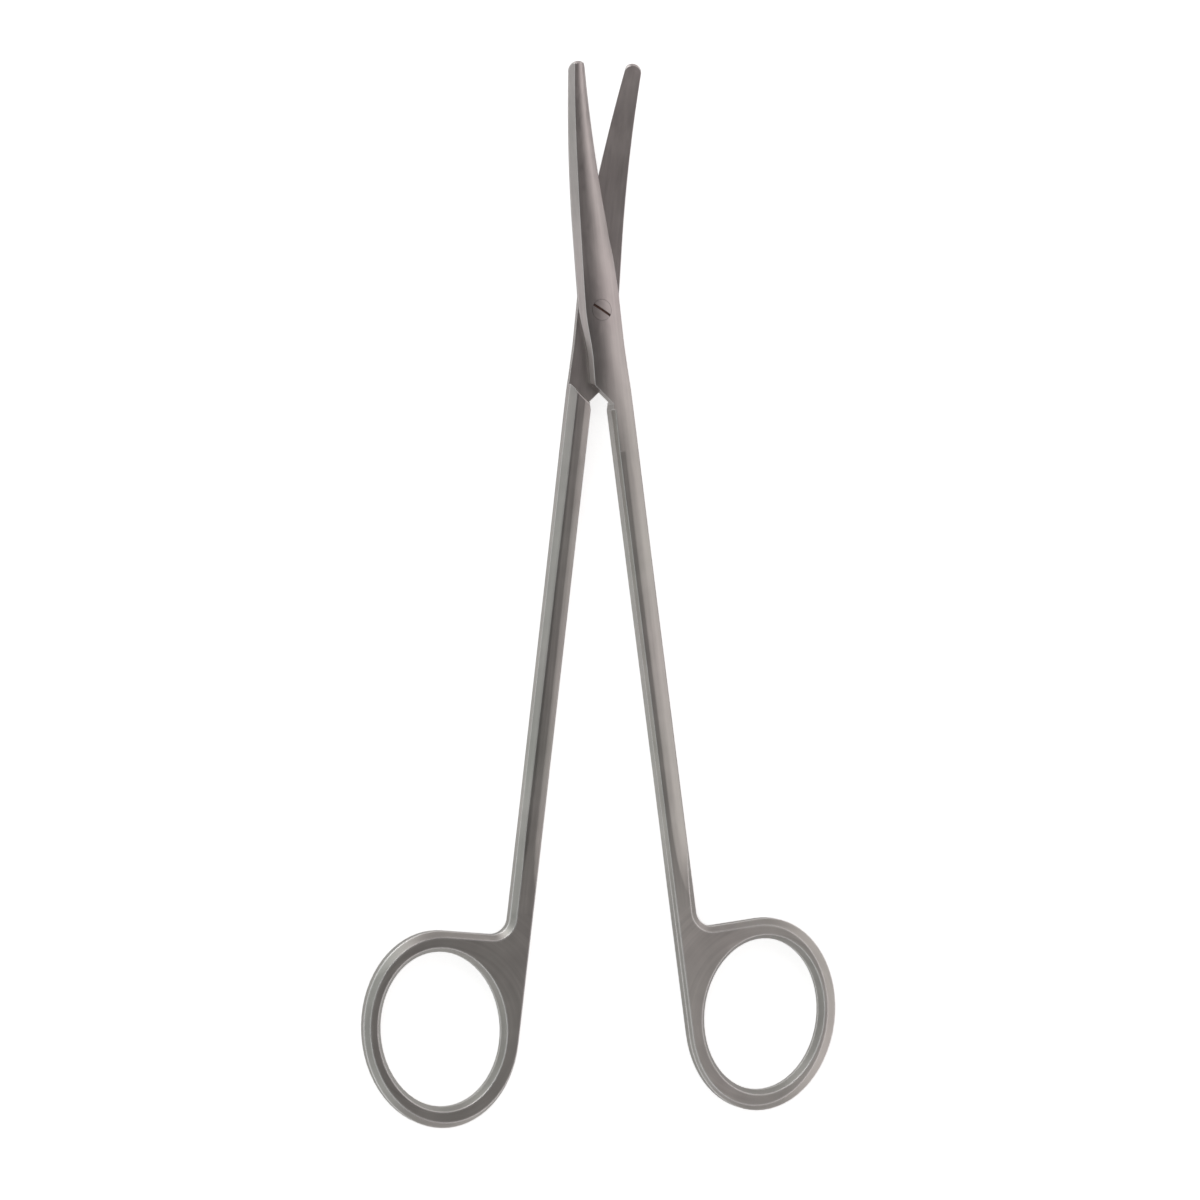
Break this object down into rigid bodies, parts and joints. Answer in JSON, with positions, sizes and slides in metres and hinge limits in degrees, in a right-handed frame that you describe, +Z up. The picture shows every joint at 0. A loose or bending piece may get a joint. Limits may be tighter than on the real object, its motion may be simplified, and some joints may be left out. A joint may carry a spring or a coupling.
{
  "type": "dissecting scissors",
  "caption": "Long-shanked dissecting scissors with blunt blades curved on the flat, a screwed lap joint and oval finger rings.",
  "frame": {"origin": "on the pivot screw's axis, in the plane that the scissors lie on", "axes": "+Y to the blade tips, +Z up along the pivot axis from the screw's end to its slotted head, +X across; the two halves stand open by the same angle each side of the YZ plane"},
  "size_m": [0.0846, 0.1777, 0.0076],
  "materials": {
    "upper_steel": "satin blasted stainless steel",
    "lower_steel": "satin blasted stainless steel",
    "screw_steel": "satin stainless steel, ground flush"
  },
  "bodies": {
    "lower": {"lower_half": "lower_steel", "pivot_screw": "screw_steel"},
    "upper": {"upper_half": "upper_steel"}
  },
  "joints": [
    {"name": "pivot", "type": "hinge", "parent": "lower", "child": "upper", "pos_m": [0, 0, 0], "axis": [0, 0, 1], "range_deg": [-12.6, 130]}
  ]
}
